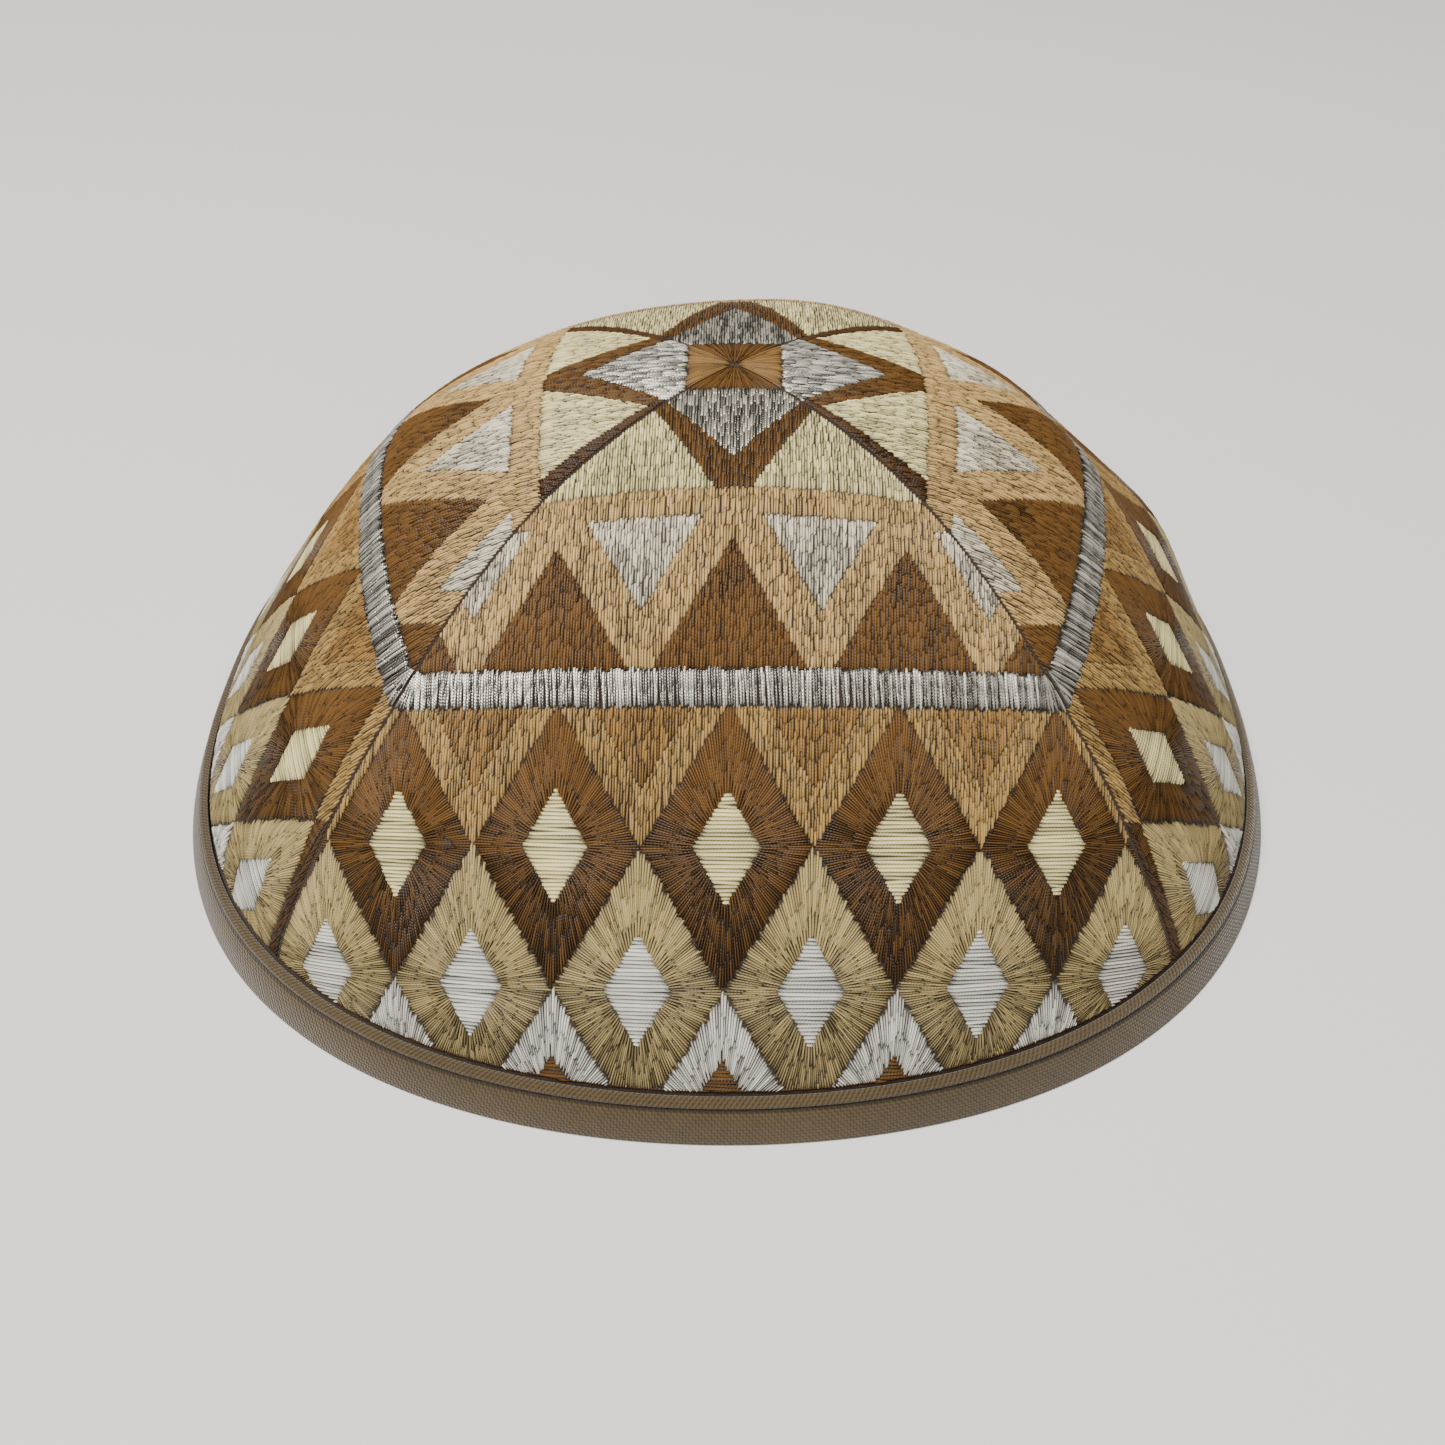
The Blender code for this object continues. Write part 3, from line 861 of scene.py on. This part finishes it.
def spread_round(half_width, half_rise, pitch):
    """Places on a diamond's edge, as shares of its half sizes, whose spokes are a pitch apart there."""
    part = np.linspace(0.0, 1.0, 401)
    side, rise = 1 - part, part
    angle = np.arctan2(rise * half_rise, side * half_width)
    radius = np.hypot(side * half_width, rise * half_rise)
    travelled = np.concatenate([[0.0], np.cumsum(np.diff(angle) * (radius[1:] + radius[:-1]) / 2)])
    spokes = int(round(travelled[-1] / pitch))
    part = np.interp((np.arange(spokes) + 0.5) / spokes * travelled[-1], travelled, part)
    sides = [1 - part, -(1 - part[::-1]), -(1 - part), 1 - part[::-1]]
    rises = [part, part[::-1], -part, -part[::-1]]
    return np.concatenate(sides), np.concatenate(rises)


def stitch_faces(count):
    """The faces of that many stitches, whose points come place by place along each."""
    wide = len(STITCH_ACROSS)
    tall = len(STITCH_ALONG)
    faces = []
    for along in range(tall - 1):
        for across in range(wide - 1):
            corner = along * wide + across
            faces.append((corner, corner + 1, corner + wide + 1, corner + wide))
    one = np.array(faces)
    return (one[None] + (np.arange(count) * wide * tall)[:, None, None]).reshape(-1, 4)


def stitch_mesh(name, points, count, thread, materials):
    mesh = bpy.data.meshes.new(name)
    faces = stitch_faces(count)
    mesh.vertices.add(len(points))
    mesh.vertices.foreach_set("co", points.astype(np.float32).ravel())
    mesh.loops.add(faces.size)
    mesh.loops.foreach_set("vertex_index", faces.astype(np.int32).ravel())
    mesh.polygons.add(len(faces))
    mesh.polygons.foreach_set("loop_start", np.arange(0, faces.size, 4, dtype=np.int32))
    for material in materials:
        mesh.materials.append(material)
    each = len(faces) // count
    mesh.polygons.foreach_set("material_index", np.repeat(thread.astype(np.int32), each))
    mesh.update(calc_edges=True)
    mesh.shade_smooth()
    return mesh


def stitch_uv(lengths):
    """Places on each stitch's faces: across it from 0 to 1, and along it in millimetres."""
    wide, tall = len(STITCH_ACROSS), len(STITCH_ALONG)
    across = np.tile(np.linspace(0.0, 1.0, wide), tall)
    along = np.repeat(STITCH_ALONG, wide)
    across = np.broadcast_to(across, (len(lengths), wide * tall))
    spots = np.stack([across, lengths[:, None] * 1000 * along], axis=-1)
    corners = stitch_faces(1).ravel()
    return spots[:, corners].reshape(-1, 2)


def store_uv(mesh, name, spots):
    layer = mesh.uv_layers.new(name=name)
    layer.data.foreach_set("uv", spots.astype(np.float32).ravel())


def store_value(mesh, name, values):
    attribute = mesh.attributes.new(name, "FLOAT", "POINT")
    attribute.data.foreach_set("value", values.astype(np.float32))


def add_piece(name, mesh):
    piece = bpy.data.objects.new(name, mesh)
    bpy.context.scene.collection.objects.link(piece)
    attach(piece, "root")
    return piece


def start_clean():
    bpy.ops.object.select_all(action="DESELECT")


def add_grid(name, columns, rows):
    """A flat grid from -1 to 1 each way, for a strip or a panel of cloth."""
    start_clean()
    bpy.ops.mesh.primitive_grid_add(x_subdivisions=columns, y_subdivisions=rows, size=2.0, location=(0, 0, 0))
    piece = bpy.context.active_object
    piece.name = name
    piece.data.name = name
    return piece


def mesh_points(mesh):
    points = np.zeros(len(mesh.vertices) * 3, dtype=np.float32)
    mesh.vertices.foreach_get("co", points)
    return points.reshape(-1, 3).astype(float)


def loop_vertices(mesh):
    indices = np.zeros(len(mesh.loops), dtype=np.int32)
    mesh.loops.foreach_get("vertex_index", indices)
    return indices


def store_only_uv(mesh, name, spots):
    """Stores each point's place on the cloth for its faces, in place of the grid's own."""
    while mesh.uv_layers:
        mesh.uv_layers.remove(mesh.uv_layers[0])
    store_uv(mesh, name, spots[loop_vertices(mesh)])


def close_and_face_out(piece):
    """Merges doubled points and turns the faces outwards."""
    start_clean()
    piece.select_set(True)
    bpy.context.view_layer.objects.active = piece
    bpy.ops.object.mode_set(mode="EDIT")
    bpy.ops.mesh.select_all(action="SELECT")
    bpy.ops.mesh.remove_doubles(threshold=MERGE_DISTANCE)
    bpy.ops.mesh.normals_make_consistent(inside=False)
    bpy.ops.object.mode_set(mode="OBJECT")
    piece.data.shade_smooth()
    bpy.ops.object.shade_smooth_by_angle(angle=math.radians(50))


class KIPPAH_OT_backing(bpy.types.Operator):
    """Add the backing cloth of the four panels, with the lining on its inside"""

    bl_idname = "kippah.backing"
    bl_label = "Add backing cloth"

    def execute(self, context):
        settings = context.scene.kippah_cloth
        # The ground cloth's dark colour is painted shade for the gaps between the stitches
        ground = woven_material("ground_cloth", settings.shaded_ground_colour, settings.lining_yarn, "cloth", 0.1)
        lining = woven_material("lining_cloth", settings.lining_colour, settings.lining_yarn, "cloth", 0.3)
        line = MiddleLine()
        for side, turn, folded in PANELS:
            piece = self.panel(line, side, turn, folded, settings)
            piece.data.materials.append(ground)
            piece.data.materials.append(lining)
            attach(piece, "root")
            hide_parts(f"crown_panel_{side}")
        return {"FINISHED"}

    def panel(self, line, side, turn, folded, settings):
        """A two-layered slab of cloth, each layer laid on its own surface of the panel."""
        piece = add_grid(f"backing_{side}", 48, 72)
        bpy.ops.object.mode_set(mode="EDIT")
        bpy.ops.mesh.select_all(action="SELECT")
        bpy.ops.mesh.extrude_region_move(TRANSFORM_OT_translate={"value": (0.0, 0.0, -1.0)})
        bpy.ops.object.mode_set(mode="OBJECT")
        flat = mesh_points(piece.data)
        shares, down = flat[:, 0], (1 - flat[:, 1]) / 2
        inner = flat[:, 2] < -0.5
        placed = np.zeros(flat.shape)
        spots = np.zeros((len(flat), 2))
        for depth, chosen in ((settings.ground_sunk, ~inner), (PANEL_THICKNESS, inner)):
            layer = Layer(line, side, folded, depth, 0.00004)
            foot = layer.along_at_height(shares[chosen], TAPE_THICKNESS + 0.0002)
            along = layer.tip + down[chosen] * (foot - layer.tip)
            placed[chosen] = set_in_dome(layer.place(shares[chosen], along), turn)
            spots[chosen] = np.stack([shares[chosen] * layer.reach(along), along * CLOTH_LENGTH], axis=-1)
        piece.data.vertices.foreach_set("co", placed.astype(np.float32).ravel())
        store_only_uv(piece.data, "cloth", spots)
        for face in piece.data.polygons:
            face.material_index = int(all(inner[index] for index in face.vertices))
        close_and_face_out(piece)
        return piece


class KIPPAH_OT_embroidery(bpy.types.Operator):
    """Add the embroidery of the four panels, stitch by stitch"""

    bl_idname = "kippah.embroidery"
    bl_label = "Add embroidery"

    def execute(self, context):
        settings = context.scene.kippah_threads
        materials = [
            thread_material(name, getattr(settings, name), name in METAL_THREADS) for name in THREADS
        ]
        line = MiddleLine()
        for side, turn, folded in PANELS:
            random = np.random.default_rng(17 + turn)
            work = Embroidery(Cloth(line, side, turn, folded), folded, settings, random)
            work.fill_tip()
            work.fill_down()
            work.fill_band()
            work.fill_diamonds()
            work.edge_line()
            piece = work.make(f"embroidery_{side}", materials)
        return {"FINISHED"}


class KIPPAH_OT_binding(bpy.types.Operator):
    """Add the woven tape folded over the rim, with its rolled upper edge"""

    bl_idname = "kippah.binding"
    bl_label = "Add rim binding"

    def execute(self, context):
        settings = context.scene.kippah_tape
        around = len(PANELS) * TAPE_COLUMNS
        section = np.array(TAPE_SECTION)
        rings = self.rings(section)
        piece = add_grid("tape_binding", around, len(section))
        flat = mesh_points(piece.data)
        column = np.round((1 + flat[:, 0]) / 2 * around).astype(int)
        row = np.round((1 + flat[:, 1]) / 2 * len(section)).astype(int)
        placed = rings[row % len(section), column % around]
        piece.data.vertices.foreach_set("co", placed.astype(np.float32).ravel())
        steps = np.linalg.norm(np.diff(np.vstack([section, section[:1]]), axis=0), axis=1)
        across = np.concatenate([[0.0], np.cumsum(steps)])
        girth = 2 * math.pi * RIM_RADIUS
        spots = np.stack([column / around * girth, across[row]], axis=-1)
        store_only_uv(piece.data, "tape", spots)
        outside = section[:, 0] < -0.0003
        in_roll = outside & (section[:, 1] > 0.0047)
        # The groove is marked for the tape's painted shade there
        in_groove = outside & (np.abs(section[:, 1] - 0.00457) < 0.0002)
        store_value(piece.data, "roll", in_roll[row % len(section)])
        store_value(piece.data, "groove", in_groove[row % len(section)])
        close_and_face_out(piece)
        material = tape_material("woven_tape", settings.colour, settings.yarn, settings.twist)
        piece.data.materials.append(material)
        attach(piece, "root")
        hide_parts("rim_binding")
        self.groove_stitches(settings.stitch_colour)
        return {"FINISHED"}

    def groove_stitches(self, colour):
        """The dark running stitches that hold the tape, in the groove under its roll."""
        line = MiddleLine()
        lengthwise = np.linspace(0.0, GROOVE_FILL, len(STITCH_ALONG))[:, None]
        points = []
        for side, turn, folded in PANELS:
            layer = Layer(line, side, folded, GROOVE_DEPTH, 0.0)
            start = np.linspace(-1.0, 1.0, GROOVE_STITCHES + 1)[:-1, None, None]
            shares = start + lengthwise * 2 / GROOVE_STITCHES + STITCH_ACROSS * 0.0
            heights = GROOVE_HEIGHT + STITCH_ACROSS * GROOVE_HALF_WIDTH + shares * 0.0
            lift = GROOVE_LIFT * STITCH_ALONG_HEIGHT[:, None] * STITCH_ACROSS_HEIGHT
            along = layer.along_at_height(shares, heights)
            points.append(set_in_dome(layer.place(shares, along, lift), turn).reshape(-1, 3))
        points = np.concatenate(points)
        stitches = len(points) // (len(STITCH_ALONG) * len(STITCH_ACROSS))
        material = woven_material("running_stitch", colour, 0.0003, "stitch", 0.1)
        mesh = stitch_mesh("groove_stitches", points, stitches, np.zeros(stitches), [material])
        store_uv(mesh, "stitch", stitch_uv(np.full(stitches, GROOVE_LENGTH)) / 1000)
        piece = add_piece("groove_stitches", mesh)

    def rings(self, section):
        """The tape's points, ring by ring of its section, once round the rim through all four panels."""
        line = MiddleLine()
        shares = np.linspace(-1.0, 1.0, TAPE_COLUMNS + 1)[:-1]
        rings = []
        for depth, height in section:
            quarters = []
            for side, turn, folded in PANELS:
                layer = Layer(line, side, folded, depth, 0.0)
                points = layer.place(shares, layer.along_at_height(shares, height))
                quarters.append(set_in_dome(points, turn))
            rings.append(np.concatenate(quarters))
        return np.array(rings)


class KIPPAH_OT_stage(bpy.types.Operator):
    """Add the plain floor, the soft lights and the camera"""

    bl_idname = "kippah.stage"
    bl_label = "Add stage"

    def execute(self, context):
        settings = context.scene.kippah_stage
        self.floor(settings)
        self.soft_light("key_light", KEY_PLACE, KEY_SIDE, settings.key_power)
        self.soft_light("fill_light", FILL_PLACE, FILL_SIDE, settings.fill_power)
        self.sky(context)
        self.camera(context)
        return {"FINISHED"}

    def floor(self, settings):
        start_clean()
        bpy.ops.mesh.primitive_plane_add(size=FLOOR_SIDE, location=(0, 0, 0))
        floor = bpy.context.active_object
        floor.name = "floor"
        material, shader, value = new_material("floor", settings.floor_colour)
        where = value.node("ShaderNodeTexCoord", {}, 3)
        darker, lighter = (opaque(settings.floor_colour, lightness) for lightness in (0.98, 1.02))
        tint = where.noise(1.5).blend(darker, lighter)
        connect(tint, shader, "Base Color")
        shader.inputs["Roughness"].default_value = 0.75
        shader.inputs["Specular IOR Level"].default_value = 0.2
        floor.data.materials.append(material)

    def soft_light(self, name, place, size, power):
        start_clean()
        bpy.ops.object.light_add(type="AREA", location=place)
        light = bpy.context.active_object
        light.name = name
        light.data.size = size
        light.data.energy = power
        aim = Vector((0, 0, 0.03)) - Vector(place)
        light.rotation_euler = aim.to_track_quat("-Z", "Y").to_euler()

    def sky(self, context):
        world = bpy.data.worlds.new("pale_studio")
        world.use_nodes = True
        background = world.node_tree.nodes["Background"]
        background.inputs["Color"].default_value = (1.0, 0.98, 0.95, 1.0)
        background.inputs["Strength"].default_value = SKY_STRENGTH
        context.scene.world = world

    def camera(self, context):
        """The camera at the photograph's viewing angle and distance."""
        tilt = math.radians(CAMERA_TILT)
        behind, above = CAMERA_DISTANCE * math.cos(tilt), CAMERA_DISTANCE * math.sin(tilt)
        place = Vector((-CAMERA_SIDEWAYS, -behind, CAMERA_AIM_HEIGHT + above)) * CAMERA_UNIT
        aim = Vector((-CAMERA_SIDEWAYS, 0.0, CAMERA_AIM_HEIGHT)) * CAMERA_UNIT
        turn = Matrix.Rotation(math.radians(CAMERA_TURN), 4, "Z")
        place, aim = turn @ place, turn @ aim
        start_clean()
        bpy.ops.object.camera_add(location=place)
        camera = bpy.context.active_object
        camera.name = "photo_camera"
        facing = (aim - place).to_track_quat("-Z", "Y").to_matrix().to_4x4()
        roll = Matrix.Rotation(math.radians(-CAMERA_ROLL), 4, "Z")
        camera.matrix_world = Matrix.Translation(place) @ facing @ roll
        camera.data.sensor_width = SENSOR_WIDTH
        camera.data.lens = FOCAL_PIXELS / PICTURE_PIXELS * SENSOR_WIDTH
        context.scene.camera = camera


class KIPPAH_PT_parts(bpy.types.Panel):
    """Lists the parts of the kippah and their sizes and colours"""

    bl_idname = "KIPPAH_PT_parts"
    bl_label = "Embroidered kippah"
    bl_space_type = "VIEW_3D"
    bl_region_type = "UI"
    bl_category = "Kippah"

    def draw(self, context):
        layout = self.layout
        for operator, owner in STEPS:
            layout.operator(operator.bl_idname)
            settings = getattr(context.scene, owner)
            for name in settings.__annotations__:
                layout.prop(settings, name)


STEPS = (
    (KIPPAH_OT_backing, "kippah_cloth"),
    (KIPPAH_OT_embroidery, "kippah_threads"),
    (KIPPAH_OT_binding, "kippah_tape"),
    (KIPPAH_OT_stage, "kippah_stage"),
)
SETTINGS = (
    ("kippah_cloth", ClothSettings),
    ("kippah_threads", ThreadSettings),
    ("kippah_tape", TapeSettings),
    ("kippah_stage", StageSettings),
)
CLASSES = (
    *(group for _, group in SETTINGS),
    *(operator for operator, _ in STEPS),
    KIPPAH_PT_parts,
)


def register():
    for kind in CLASSES:
        bpy.utils.register_class(kind)
    for owner, group in SETTINGS:
        setattr(bpy.types.Scene, owner, PointerProperty(type=group))


def unregister():
    for owner, _ in SETTINGS:
        delattr(bpy.types.Scene, owner)
    for kind in reversed(CLASSES):
        bpy.utils.unregister_class(kind)


def main():
    register()
    bpy.ops.kippah.backing()
    bpy.ops.kippah.embroidery()
    bpy.ops.kippah.binding()
    bpy.ops.kippah.stage()


if __name__ == "__main__":
    main()
